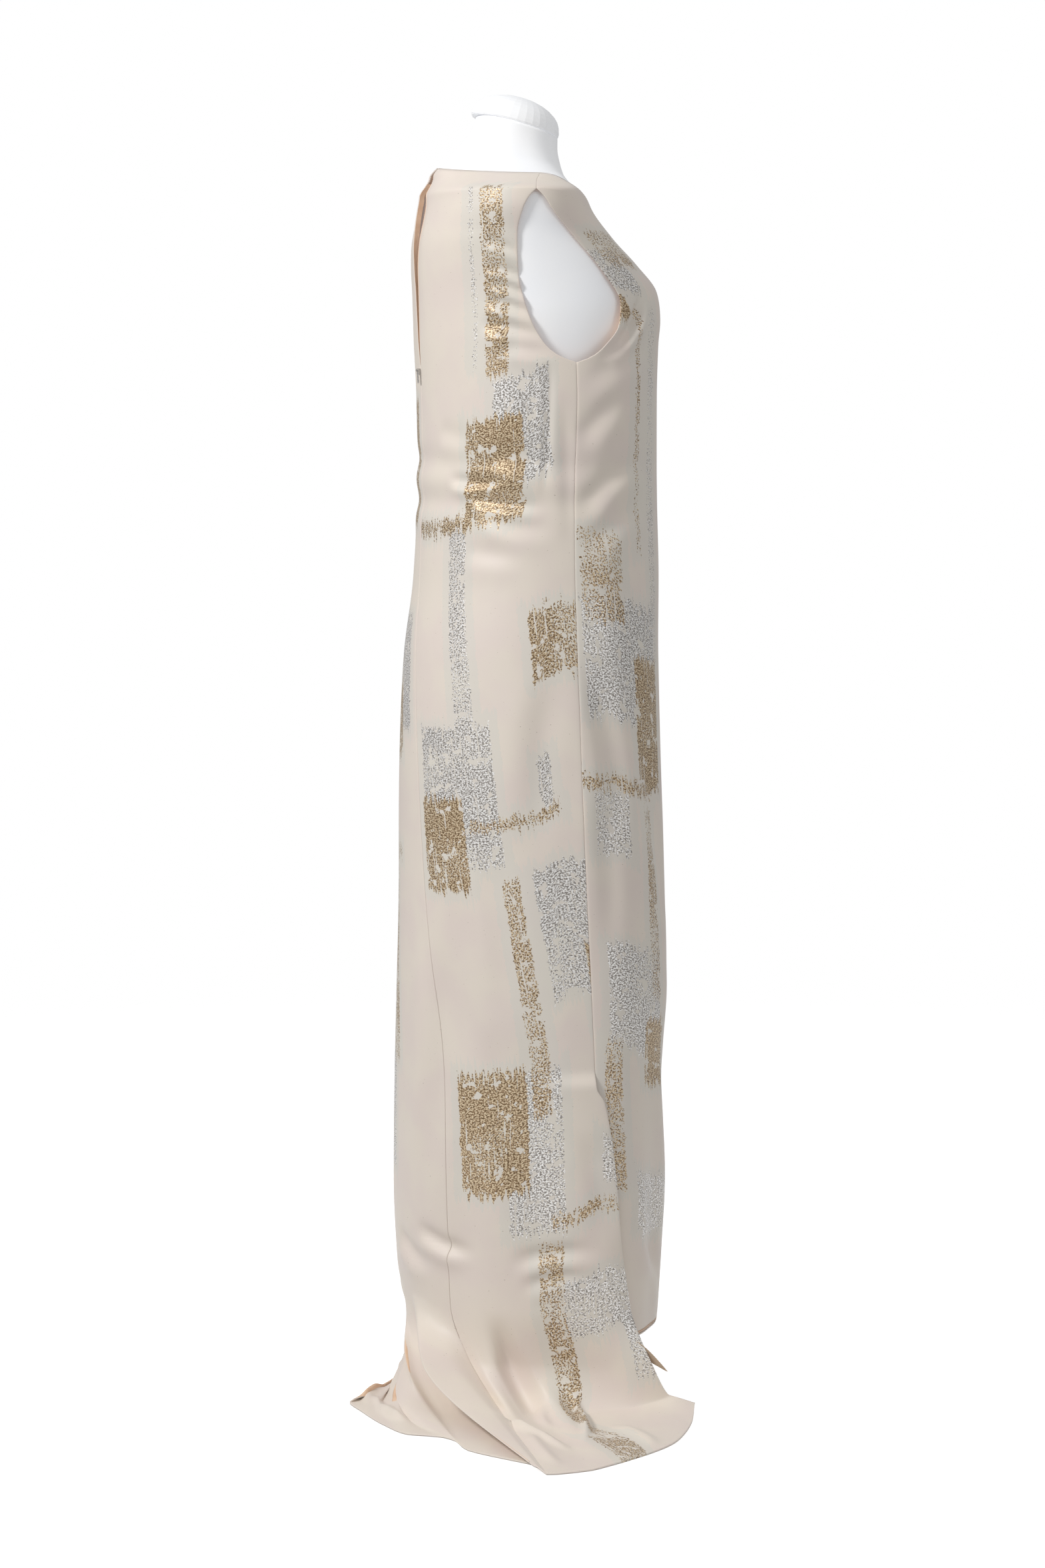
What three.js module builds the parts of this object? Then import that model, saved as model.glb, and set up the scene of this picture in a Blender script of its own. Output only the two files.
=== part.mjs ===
// A sleeveless column maxi dress with a train, standing on a limbless dress form.
// Millimetres, +Z up. The origin is on the floor at the foot of the form's pole.
// The front of the dress faces -Y and the wearer's right side is -X.
import * as THREE from 'three';

// Driving dimensions
const CLOTH_WALL = 2;
const SEAM_GAP = 0.7;
const TRAIN_SEAM_GAP = 1.6;
const SHOULDER_POINT = 1446;
const SHOULDER_TIP = 1423;
const ARMHOLE_BOTTOM = 1226;
const FRONT_NECK_DROP = 46;
const BACK_NECK_RISE = 11;
const YOKE_LEVEL = 1374;
const SLIT_TOP = 407;
const SLIT_STAND_OFF = 6.5;
const FRONT_HEM = 84;
const HANG_END = 150;
const ZIP_TOP = 1222;
const ZIP_HINGE = 1220;
const NECK_HOOK_LEVEL = 1447;
const SECTION_POWER = 2.15;
const FRONT_COLUMNS = 20;
const BACK_COLUMNS = 14;
const FORM_COLUMNS = 32;
const FORM_BOTTOM = 745;
const NECK_TILT = 16;
const CAP_RADIUS = 53.5;
const CAP_HEIGHT = 35;
const FACING_WALL = 1;
const FACING_INSET = 2.7;
const BASE_RADIUS = 126;
const BASE_THICKNESS = 9;
const HUB_TOP = 46;
const POLE_RADIUS = 16;
const FIT = 0.3;

// Outer size of the dress, level by level. half: half width. front, back: depth before and behind
// mid, the side seam's place. seam: how far the centre back seam is turned to the right, in degrees.
const DRESS_SECTIONS = [
  { z: 0, half: 188, front: 100, back: 176, mid: -36, seam: 37 },
  { z: 50, half: 189, front: 104, back: 178, mid: -36, seam: 36.5 },
  { z: 100, half: 191, front: 111, back: 196, mid: -36, seam: 36 },
  { z: 249, half: 194, front: 119, back: 205, mid: -36, seam: 35 },
  { z: 397, half: 192, front: 121, back: 199, mid: -32, seam: 33.5 },
  { z: 495, half: 190, front: 132, back: 192, mid: -28, seam: 30 },
  { z: 625, half: 186, front: 134, back: 181, mid: -22, seam: 23.5 },
  { z: 787, half: 182, front: 134, back: 172, mid: -16, seam: 17 },
  { z: 883, half: 177, front: 134, back: 165, mid: -14, seam: 12 },
  { z: 979, half: 168, front: 136, back: 152, mid: -13, seam: 5 },
  { z: 1075, half: 162, front: 133, back: 148, mid: -14, seam: 3 },
  { z: 1186, half: 165, front: 130, back: 151, mid: -16, seam: 3 },
  { z: 1249, half: 163, front: 134, back: 152, mid: -14, seam: 3 },
  { z: 1280, half: 160, front: 142, back: 148, mid: -9, seam: 3 },
  { z: 1312, half: 157, front: 147, back: 140, mid: 0, seam: 3 },
  { z: 1343, half: 156, front: 134, back: 129, mid: 12, seam: 3 },
  { z: 1374, half: 157, front: 116, back: 114, mid: 25, seam: 3 },
  { z: 1406, half: 162, front: 95, back: 101, mid: 31, seam: 2 },
  { z: 1423, half: 160, front: 86, back: 99, mid: 31, seam: 1 },
  { z: 1435, half: 131, front: 72, back: 100, mid: 24, seam: 0 },
  { z: 1446, half: 100, front: 54, back: 106, mid: 14, seam: 0 },
  { z: 1460, half: 64, front: 42, back: 96, mid: 14, seam: 0 },
];

// The armhole's front and back edges, as places along Y at each level.
const ARMHOLE_EDGES = [
  { z: 1226, front: -15.5, back: -15.5 },
  { z: 1233, front: -34, back: 4 },
  { z: 1247, front: -52, back: 21 },
  { z: 1271, front: -70, back: 35 },
  { z: 1295, front: -73, back: 43 },
  { z: 1326, front: -55, back: 50 },
  { z: 1374, front: -12, back: 52 },
  { z: 1400, front: 12, back: 47 },
  { z: 1414, front: 22, back: 40 },
  { z: 1423, front: 31, back: 31 },
];

// Half the width of the open slit at the centre back, from the zip up to the neck hook.
const BACK_OPENING = [
  { z: 1222, half: 0.3 },
  { z: 1290, half: 1.8 },
  { z: 1350, half: 3.4 },
  { z: 1405, half: 4.6 },
  { z: 1436, half: 2.6 },
  { z: 1460, half: 0.8 },
];

// How far each back panel laps over the front at its side slit, in degrees.
const SIDE_LAP = [
  { z: 0, turn: 15 },
  { z: 103, turn: 13 },
  { z: 158, turn: 10 },
  { z: 200, turn: 8 },
  { z: 262, turn: 6.5 },
  { z: 330, turn: 4.5 },
  { z: 371, turn: 2.5 },
  { z: 388, turn: 0 },
  { z: 407, turn: 0 },
];

// Long soft folds. turn: place round the body, 0 front, 90 right side, 180 back. wide: in degrees.
// deep: how far the cloth falls in there. low, high: where the fold fades out.
const FOLDS = [
  { turn: 138, wide: 9, deep: 7, low: 90, high: 760 },
  { turn: 112, wide: 8, deep: 4, low: 120, high: 620 },
  { turn: 196, wide: 10, deep: 5, low: 60, high: 700 },
  { turn: 236, wide: 9, deep: 8, low: 60, high: 720 },
  { turn: 308, wide: 9, deep: 6, low: 0, high: 640 },
  { turn: 342, wide: 8, deep: 5, low: 0, high: 820 },
  { turn: 28, wide: 9, deep: 5, low: 0, high: 700 },
  { turn: 62, wide: 8, deep: 4, low: 0, high: 560 },
];

// The train. share: place across the panel, 0 at the centre back seam, 1 at the side slit.
// leaves: height where the cloth leaves the skirt's form. touch: where it reaches the floor.
// hem: where it ends. lift: height of the cloth's face over the floor at the hem.
const RIGHT_TRAIN = [
  { share: 0, leaves: 120, touchX: -212, touchY: 84, hemX: -419, hemY: 79, lift: 5 },
  { share: 0.2, leaves: 130, touchX: -236, touchY: 44, hemX: -412, hemY: 30, lift: 2 },
  { share: 0.4, leaves: 135, touchX: -246, touchY: 2, hemX: -390, hemY: -18, lift: 2 },
  { share: 0.6, leaves: 130, touchX: -244, touchY: -38, hemX: -358, hemY: -62, lift: 2 },
  { share: 0.8, leaves: 110, touchX: -232, touchY: -80, hemX: -302, hemY: -106, lift: 2 },
  { share: 1, leaves: 80, touchX: -206, touchY: -112, hemX: -222, hemY: -146, lift: 12 },
];
const LEFT_TRAIN = [
  { share: 0, leaves: 120, touchX: -212, touchY: 84, hemX: -419, hemY: 79, lift: 5 },
  { share: 0.1, leaves: 110, touchX: -178, touchY: 104, hemX: -384, hemY: 92, lift: 12 },
  { share: 0.17, leaves: 100, touchX: -140, touchY: 124, hemX: -334, hemY: 112, lift: 2 },
  { share: 0.27, leaves: 84, touchX: -100, touchY: 146, hemX: -284, hemY: 156, lift: 2 },
  { share: 0.37, leaves: 74, touchX: -66, touchY: 156, hemX: -232, hemY: 203, lift: 2 },
  { share: 0.46, leaves: 66, touchX: -38, touchY: 160, hemX: -160, hemY: 235, lift: 2 },
  { share: 0.54, leaves: 60, touchX: -12, touchY: 158, hemX: -86, hemY: 238, lift: 12 },
  { share: 0.63, leaves: 60, touchX: 28, touchY: 150, hemX: -4, hemY: 168, lift: 2 },
  { share: 0.73, leaves: 60, touchX: 84, touchY: 132, hemX: 88, hemY: 146, lift: 2 },
  { share: 0.83, leaves: 60, touchX: 140, touchY: 95, hemX: 151, hemY: 106, lift: 2 },
  { share: 0.92, leaves: 60, touchX: 182, touchY: 32, hemX: 198, hemY: 36, lift: 2 },
  { share: 1, leaves: 60, touchX: 198, touchY: -58, hemX: 214, hemY: -66, lift: 2 },
];

// The dress form. tilt: how much the level leans down to the front, in degrees.
const FORM_SECTIONS = [
  { z: 745, half: 138, front: 88, back: 108, mid: -6, tilt: 0 },
  { z: 762, half: 150, front: 98, back: 118, mid: -6, tilt: 0 },
  { z: 880, half: 164, front: 106, back: 130, mid: -6, tilt: 0 },
  { z: 980, half: 146, front: 98, back: 104, mid: -4, tilt: 0 },
  { z: 1075, half: 124, front: 94, back: 92, mid: -2, tilt: 0 },
  { z: 1186, half: 138, front: 112, back: 112, mid: -4, tilt: 0 },
  { z: 1240, half: 147, front: 126, back: 124, mid: -6, tilt: 0 },
  { z: 1295, half: 152, front: 139, back: 128, mid: -3, tilt: 0 },
  { z: 1343, half: 152, front: 129, back: 120, mid: 12, tilt: 0 },
  { z: 1374, half: 152.5, front: 111, back: 106, mid: 25, tilt: 0 },
  { z: 1400, half: 155, front: 95, back: 98, mid: 30, tilt: 0 },
  { z: 1417, half: 155.5, front: 85, back: 94, mid: 31, tilt: 0 },
  { z: 1424.5, half: 148, front: 80, back: 93, mid: 30, tilt: 0 },
  { z: 1431.5, half: 131, front: 71, back: 94, mid: 26, tilt: 0 },
  { z: 1442.5, half: 100, front: 54, back: 97, mid: 17, tilt: 0 },
  { z: 1452, half: 76, front: 52, back: 90, mid: 17, tilt: 2 },
  { z: 1466, half: 60, front: 51, back: 77, mid: 18, tilt: 6 },
  { z: 1486, half: 54, front: 50, back: 54, mid: 20, tilt: 11 },
  { z: 1506, half: 52, front: 51, back: 44, mid: 21, tilt: NECK_TILT },
];

const radians = THREE.MathUtils.degToRad;
const lerp = THREE.MathUtils.lerp;
const ease = THREE.MathUtils.smoothstep;

// A smooth curve through one column of a table, with no overshoot between its rows.
function curveThrough(rows, key, name) {
  const at = rows.map((row) => row[key]);
  const value = rows.map((row) => row[name]);
  const last = rows.length - 1;
  const rise = [];
  for (let i = 0; i < last; i += 1) rise.push((value[i + 1] - value[i]) / (at[i + 1] - at[i]));
  const slope = rows.map((_, i) => {
    if (i === 0) return rise[0];
    if (i === last) return rise[last - 1];
    const product = rise[i - 1] * rise[i];
    return product > 0 ? (2 * product) / (rise[i - 1] + rise[i]) : 0;
  });
  return (place) => {
    const x = THREE.MathUtils.clamp(place, at[0], at[last]);
    let i = 0;
    while (i < last - 1 && x > at[i + 1]) i += 1;
    const span = at[i + 1] - at[i];
    const t = (x - at[i]) / span;
    const bend = t * (1 - t);
    return (
      lerp(value[i], value[i + 1], t * t * (3 - 2 * t)) +
      span * bend * (slope[i] * (1 - t) - slope[i + 1] * t)
    );
  };
}

// All columns of a table as curves, read at one place.
function tableCurves(rows, key) {
  const names = Object.keys(rows[0]).filter((name) => name !== key);
  const curves = names.map((name) => [name, curveThrough(rows, key, name)]);
  return (place) => Object.fromEntries(curves.map(([name, curve]) => [name, curve(place)]));
}

const dressSection = tableCurves(DRESS_SECTIONS, 'z');
const formSection = tableCurves(FORM_SECTIONS, 'z');
const armholeEdge = tableCurves(ARMHOLE_EDGES, 'z');
const backOpening = curveThrough(BACK_OPENING, 'z', 'half');
const sideLap = curveThrough(SIDE_LAP, 'z', 'turn');

// How far the folds draw the cloth in at one place.
function foldDepth(z, turn) {
  return FOLDS.reduce((sum, fold) => {
    const away = Math.abs((((turn - fold.turn) % 360) + 540) % 360 - 180) / fold.wide;
    const fade = (1 - ease(z, fold.high - 260, fold.high)) * ease(z, fold.low - 1, fold.low + 120);
    return sum + fold.deep * fade * Math.exp(-away * away);
  }, 0);
}

// A point of a section at a turn round it, moved out from it.
function sectionPoint(section, z, turn, out) {
  const angle = radians(turn);
  const depth = Math.cos(angle) > 0 ? section.front : section.back;
  const across = Math.abs(Math.sin(angle) / section.half) ** SECTION_POWER;
  const along = Math.abs(Math.cos(angle) / depth) ** SECTION_POWER;
  const radius = (across + along) ** (-1 / SECTION_POWER) + out;
  return new THREE.Vector3(-radius * Math.sin(angle), section.mid - radius * Math.cos(angle), z);
}

function dressPoint(z, turn, out = 0) {
  return sectionPoint(dressSection(z), z, turn, out - foldDepth(z, turn));
}

// The turn at which the dress's section reaches a place along Y, between two turns.
function turnAtY(z, y, low, high) {
  let [near, far] = [low, high];
  for (let step = 0; step < 30; step += 1) {
    const middle = (near + far) / 2;
    if (dressPoint(z, middle).y < y) near = middle;
    else far = middle;
  }
  return (near + far) / 2;
}

const inArmhole = (z) => z > ARMHOLE_BOTTOM && z < SHOULDER_TIP;
const seamTurn = (z) => THREE.MathUtils.radToDeg(SEAM_GAP / 2 / dressSection(z).half);

// Edges of the panels, as turns measured on the right side; the left side mirrors them.
function frontEdge(z) {
  return inArmhole(z) ? turnAtY(z, armholeEdge(z).front, 0, 90) : 90 - seamTurn(z);
}

function backEdge(z) {
  if (inArmhole(z)) return turnAtY(z, armholeEdge(z).back, 90, 180);
  return 90 + seamTurn(z) - (z < SLIT_TOP ? sideLap(z) : 0);
}

// The top edge: the boat neckline, from the shoulder point down to the front and up to the back.
function neckline(turn) {
  const across = Math.abs(Math.sin(radians(turn)));
  if (Math.cos(radians(turn)) > 0) return SHOULDER_POINT - FRONT_NECK_DROP * (1 - across ** 4);
  return SHOULDER_POINT + BACK_NECK_RISE * (1 - across);
}

const YOKE_RISES = [SHOULDER_POINT, 1435, SHOULDER_TIP, 1414, 1400, 1387].map(
  (z) => (z - YOKE_LEVEL) / (SHOULDER_POINT - YOKE_LEVEL),
);
const BODICE_LEVELS = [1374, 1350, 1326, 1310, 1295, 1283, 1271, 1259, 1247, 1240, 1233, 1226];
const WAIST_LEVELS = [1210, 1186, 1150, 1112, 1075, 1043, 1011, 979, 947, 915, 883, 835, 787];
const SKIRT_LEVELS = [733, 679, 625, 582, 538, 495, 451, 407, 388, 371, 345, 310, 262, 220, 185];

// A closed wall of cloth from a grid of its outer points, rows from the top, columns across.
// beyond holds a column of points past the grid's first or last one, across a seam.
function clothWall(grid, name, material, wall = CLOTH_WALL, beyond = {}) {
  const rows = grid.length;
  const columns = grid[0].length;
  const outer = grid.flat();
  const index = (row, column) => row * columns + column;
  const inner = outer.map((point, i) => {
    const row = Math.floor(i / columns);
    const column = i % columns;
    const first = beyond.first ? beyond.first[row] : grid[row][0];
    const last = beyond.last ? beyond.last[row] : grid[row][columns - 1];
    const left = column > 0 ? grid[row][column - 1] : first;
    const right = column < columns - 1 ? grid[row][column + 1] : last;
    const above = grid[Math.max(row - 1, 0)][column];
    const below = grid[Math.min(row + 1, rows - 1)][column];
    const down = below.clone().sub(above);
    const normal = right.clone().sub(left).cross(down).normalize();
    const moved = point.clone().addScaledVector(normal, -wall);
    moved.z = Math.max(moved.z, 0);
    return moved;
  });
  const faces = [];
  const quad = (a, b, c, d) => faces.push(a, b, c, a, c, d);
  const under = outer.length;
  for (let row = 0; row < rows - 1; row += 1) {
    for (let column = 0; column < columns - 1; column += 1) {
      const corners = [
        index(row, column),
        index(row, column + 1),
        index(row + 1, column + 1),
        index(row + 1, column),
      ];
      quad(...corners);
      quad(...corners.map((corner) => corner + under).reverse());
    }
  }
  const rim = [];
  for (let column = 0; column < columns - 1; column += 1) rim.push(index(0, column));
  for (let row = 0; row < rows - 1; row += 1) rim.push(index(row, columns - 1));
  for (let column = columns - 1; column > 0; column -= 1) rim.push(index(rows - 1, column));
  for (let row = rows - 1; row > 0; row -= 1) rim.push(index(row, 0));
  rim.forEach((from, i) => {
    const to = rim[(i + 1) % rim.length];
    quad(from, from + under, to + under, to);
  });
  const geometry = new THREE.BufferGeometry();
  const places = [...outer, ...inner].flatMap((point) => point.toArray());
  geometry.setAttribute('position', new THREE.Float32BufferAttribute(places, 3));
  geometry.setIndex(faces);
  geometry.computeVertexNormals();
  const mesh = new THREE.Mesh(geometry, material);
  mesh.name = name;
  return mesh;
}

// A row of points across a panel at one level, between two edges given as turns.
function panelRow(columns, turnAt, levelAt, outAt) {
  return Array.from({ length: columns + 1 }, (_, i) => {
    const share = i / columns;
    const z = levelAt(share);
    return dressPoint(z, turnAt(z, share), outAt(z, share));
  });
}

const silk = new THREE.MeshStandardMaterial({ color: 0xe2d8cd, roughness: 0.45 });
const lining = new THREE.MeshStandardMaterial({ color: 0xe9c4a0, roughness: 0.6 });
const formCover = new THREE.MeshStandardMaterial({ color: 0xf4f4f6, roughness: 0.7 });
const metal = new THREE.MeshStandardMaterial({ color: 0xa8a6a2, roughness: 0.35, metalness: 1 });

// The front, cut in one piece from the boat neck to the hem, with a dart-shaped bust.
function dressFront() {
  const turnAt = (z, share) => lerp(-frontEdge(z), frontEdge(z), share);
  const flat = () => 0;
  const rows = YOKE_RISES.map((rise) =>
    panelRow(
      FRONT_COLUMNS,
      turnAt,
      (share) => lerp(YOKE_LEVEL, neckline(lerp(-90, 90, share)), rise),
      flat,
    ),
  );
  const hem = [160, 130, 105, FRONT_HEM];
  [...BODICE_LEVELS, ...WAIST_LEVELS, ...SKIRT_LEVELS, ...hem].forEach((z) => {
    rows.push(panelRow(FRONT_COLUMNS, turnAt, () => z, flat));
  });
  return clothWall(rows, 'dress_front', silk);
}

// Where a back panel's cloth runs from the skirt to the floor and on to its hem.
function trainRun(station, start, step, side) {
  const landing = 0.62;
  const apart = (side * TRAIN_SEAM_GAP) / 2;
  const touch = new THREE.Vector3(station.touchX, station.touchY - apart, CLOTH_WALL);
  if (step <= landing) {
    const t = step / landing;
    const knee = new THREE.Vector3(start.x, start.y, CLOTH_WALL + 3);
    return new THREE.QuadraticBezierCurve3(start, knee, touch).getPoint(t);
  }
  const t = (step - landing) / (1 - landing);
  const hem = new THREE.Vector3(station.hemX, station.hemY - apart, CLOTH_WALL);
  const run = touch.clone().lerp(hem, t);
  run.z += (station.lift - CLOTH_WALL) * ease(t, 0, 1);
  return run;
}

const TRAIN_STEPS = [0.1, 0.2, 0.3, 0.4, 0.51, 0.62, 0.7, 0.78, 0.86, 0.93, 1];

// The outer points of one half of the back, from the neck down to the train on the floor.
function backGrid(train, side) {
  const station = tableCurves(train, 'share');
  const centre = (z) => centreEdge(z, side);
  const edge = (z) => (side > 0 ? backEdge(z) : 360 - backEdge(z));
  const turnAt = (z, share) => lerp(centre(z), edge(z), share);
  const outAt = (z, share) =>
    SLIT_STAND_OFF * (1 - ease(z, SLIT_TOP - 19, SLIT_TOP)) * ease(share, 0.5, 0.95);
  const rows = YOKE_RISES.map((rise) =>
    panelRow(
      BACK_COLUMNS,
      turnAt,
      (share) => lerp(YOKE_LEVEL, neckline(lerp(180, 90, share)), rise),
      outAt,
    ),
  );
  [...BODICE_LEVELS, ...WAIST_LEVELS, ...SKIRT_LEVELS].forEach((z) => {
    rows.push(panelRow(BACK_COLUMNS, turnAt, () => z, outAt));
  });
  const leaves = (share) => station(share).leaves;
  [1 / 3, 2 / 3, 1].forEach((part) => {
    const level = (share) => lerp(HANG_END + 15, leaves(share), part);
    rows.push(panelRow(BACK_COLUMNS, turnAt, level, outAt));
  });
  const start = rows[rows.length - 1];
  TRAIN_STEPS.forEach((step) => {
    rows.push(start.map((point, i) => trainRun(station(i / BACK_COLUMNS), point, step, side)));
  });
  if (side > 0) rows.forEach((row) => row.reverse());
  return rows;
}

// Both halves of the back. At their seam each takes its slope from both.
function dressBacks() {
  const right = backGrid(RIGHT_TRAIN, 1);
  const left = backGrid(LEFT_TRAIN, -1);
  const last = left.map((row) => row[1]);
  const first = right.map((row) => row.at(-2));
  return [
    clothWall(right, 'dress_back_right', silk, CLOTH_WALL, { last }),
    clothWall(left, 'dress_back_left', silk, CLOTH_WALL, { first }),
  ];
}

// The turn of a back panel's edge at the centre back, open above the zip.
function centreEdge(z, side) {
  const section = dressSection(z);
  const half = z > ZIP_TOP ? backOpening(z) : SEAM_GAP / 2;
  return 180 - section.seam - side * THREE.MathUtils.radToDeg(half / section.back);
}

// The lining turned back along one edge of the open slit, a little proud of the edge.
function slitFacing(name, side) {
  const levels = [1438, 1430, 1420, 1404, 1389, 1374, 1350, 1326, 1310, 1295, 1271, 1247, 1226];
  const proud = curveThrough(
    [
      { z: 1226, by: 0.1 },
      { z: 1290, by: 1.2 },
      { z: 1365, by: 2.6 },
      { z: 1420, by: 2.2 },
      { z: 1438, by: 1.4 },
    ],
    'z',
    'by',
  );
  const under = 12;
  const rows = levels.map((z) => {
    const degreesPer = THREE.MathUtils.radToDeg(1 / dressSection(z).back);
    const row = [-proud(z), under / 2, under].map((into) => {
      const turn = centreEdge(z, side) - side * into * degreesPer;
      return dressPoint(z, turn, -FACING_INSET);
    });
    return side > 0 ? row.reverse() : row;
  });
  return clothWall(rows, name, lining, FACING_WALL);
}

// The loose end of the facing inside the right side slit, which pokes out past the back's edge.
function sideSlitFacing() {
  const columns = [0, 0.33, 0.66, 1];
  const rows = [0, 0.2, 0.4, 0.6, 0.8, 1].map((down) => {
    const z = lerp(98, 44, down);
    return columns.map((across) => {
      const root = lerp(80, 75, down);
      const free = lerp(78.5, 62, down);
      const out = lerp(lerp(2.3, 2.8, down), lerp(2.3, 30, down ** 2), across);
      return sectionPoint(dressSection(z), z - 6 * across * down, lerp(root, free, across), out);
    });
  });
  rows.forEach((row) => row.reverse());
  return clothWall(rows, 'side_slit_facing', lining, FACING_WALL);
}

// A group on the centre back seam, its +Y out of the cloth.
function onBackSeam(z, out) {
  const turn = 180 - dressSection(z).seam;
  const reach = 5;
  const fall = dressPoint(z - reach, turn).y - dressPoint(z + reach, turn).y;
  const lean = Math.atan2(fall, 2 * reach);
  const group = new THREE.Group();
  group.rotation.set(lean, 0, radians(180 - turn), 'ZYX');
  group.position.copy(dressPoint(z, turn)).add(
    new THREE.Vector3(0, out, 0).applyEuler(group.rotation),
  );
  return group;
}

// A flat shape in the XZ plane made thick along Y, centred on that plane.
function plate(shape, thick) {
  const geometry = new THREE.ExtrudeGeometry(shape, { depth: thick, bevelEnabled: false, curveSegments: 9 });
  geometry.translate(0, 0, -thick / 2);
  geometry.rotateX(Math.PI / 2);
  return geometry;
}

function namedMesh(geometry, name, material) {
  const mesh = new THREE.Mesh(geometry, material);
  mesh.name = name;
  return mesh;
}

// The zip's slider with its bail, and the pull tab whose top bar runs through the bail.
function zipPull() {
  const bail = { y: 3.1, ring: 1.9, hole: 1.15, width: 2.2 };
  const group = onBackSeam(ZIP_HINGE, FIT);
  const side = new THREE.Shape();
  side.moveTo(0, -6);
  side.lineTo(1.5, -6);
  side.lineTo(1.5, -1.9);
  side.lineTo(bail.y, -bail.ring);
  side.absarc(bail.y, 0, bail.ring, -Math.PI / 2, Math.PI / 2, false);
  side.lineTo(0, bail.ring);
  const hole = new THREE.Path();
  hole.absarc(bail.y, 0, bail.hole, 0, Math.PI * 2, true);
  side.holes.push(hole);
  const body = new THREE.ExtrudeGeometry(side, { depth: bail.width, bevelEnabled: false, curveSegments: 8 });
  body.translate(0, 0, -bail.width / 2);
  body.applyMatrix4(
    new THREE.Matrix4().makeBasis(
      new THREE.Vector3(0, 1, 0),
      new THREE.Vector3(0, 0, 1),
      new THREE.Vector3(1, 0, 0),
    ),
  );
  group.add(namedMesh(body, 'zip_slider', metal));
  const bar = 0.5;
  const outline = new THREE.Shape();
  outline.moveTo(-2.4, -bar);
  outline.lineTo(-1.5, -9);
  outline.lineTo(-2.3, -13);
  outline.absarc(0, -13, 2.3, Math.PI, Math.PI * 2, false);
  outline.lineTo(1.5, -9);
  outline.lineTo(2.4, -bar);
  outline.lineTo(2, bar);
  outline.lineTo(-2, bar);
  const slot = new THREE.Path();
  slot.moveTo(-1.5, -bar);
  slot.lineTo(1.5, -bar);
  slot.lineTo(1.5, -2.6);
  slot.lineTo(-1.5, -2.6);
  outline.holes.push(slot);
  const tab = namedMesh(plate(outline, 2 * bar), 'zip_pull_tab', metal);
  tab.position.y = bail.y;
  group.add(tab);
  return group;
}

// The hook on the right edge and the eye on the left, which close the neck above the slit.
function neckHookAndEye() {
  const group = onBackSeam(NECK_HOOK_LEVEL, -CLOTH_WALL - 2.3);
  const loop = new THREE.Shape();
  loop.absellipse(3.2, 0, 3.6, 2.6, 0, Math.PI * 2, false, 0);
  const hole = new THREE.Path();
  hole.absellipse(2.6, 0, 2, 1.7, 0, Math.PI * 2, true, 0);
  loop.holes.push(hole);
  const eye = namedMesh(plate(loop, 0.8), 'neck_eye', metal);
  eye.position.y = -0.4;
  group.add(eye);
  const bend = new THREE.Shape();
  bend.moveTo(-7, -1.1);
  bend.lineTo(1, -1.1);
  bend.lineTo(1, 0.3);
  bend.lineTo(-0.6, 0.3);
  bend.lineTo(-0.6, 1.1);
  bend.lineTo(1.65, 1.1);
  bend.lineTo(1.65, -1.9);
  bend.lineTo(-7, -1.9);
  const width = 1.4;
  const wire = new THREE.ExtrudeGeometry(bend, { depth: width, bevelEnabled: false });
  wire.translate(0, 0, -width / 2);
  group.add(namedMesh(wire, 'neck_hook', metal));
  return group;
}

// The form's body from the hips to the slanted top of the neck, as one solid of stacked rings.
function formTorso() {
  const between = (low, high, count) =>
    Array.from({ length: count }, (_, i) => lerp(low, high, (i + 1) / count));
  const levels = FORM_SECTIONS.slice(1).flatMap((row, i) => {
    const low = FORM_SECTIONS[i].z;
    return between(low, row.z, Math.max(1, Math.round((row.z - low) / 28)));
  });
  levels.unshift(FORM_BOTTOM);
  const places = levels.flatMap((z) => {
    const section = formSection(z);
    const lean = Math.tan(radians(section.tilt));
    return Array.from({ length: FORM_COLUMNS }, (_, i) => {
      const point = sectionPoint(section, z, (360 * i) / FORM_COLUMNS, 0);
      point.z += (point.y - section.mid) * lean;
      return point.toArray();
    }).flat();
  });
  const faces = [];
  const index = (row, column) => row * FORM_COLUMNS + (column % FORM_COLUMNS);
  const top = levels.length - 1;
  for (let column = 0; column < FORM_COLUMNS; column += 1) {
    for (let row = 0; row < top; row += 1) {
      faces.push(index(row, column), index(row + 1, column), index(row + 1, column + 1));
      faces.push(index(row, column), index(row + 1, column + 1), index(row, column + 1));
    }
    if (column > 0 && column < FORM_COLUMNS - 1) {
      faces.push(index(0, 0), index(0, column), index(0, column + 1));
      faces.push(index(top, 0), index(top, column + 1), index(top, column));
    }
  }
  const geometry = new THREE.BufferGeometry();
  geometry.setAttribute('position', new THREE.Float32BufferAttribute(places, 3));
  geometry.setIndex(faces);
  geometry.computeVertexNormals();
  return namedMesh(geometry, 'form_torso', formCover);
}

// A turned piece from a profile of radius and height.
function turned(profile, name, material) {
  const points = profile.map(([radius, height]) => new THREE.Vector2(radius, height));
  const geometry = new THREE.LatheGeometry(points, 36);
  geometry.rotateX(Math.PI / 2);
  return namedMesh(geometry, name, material);
}

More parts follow.
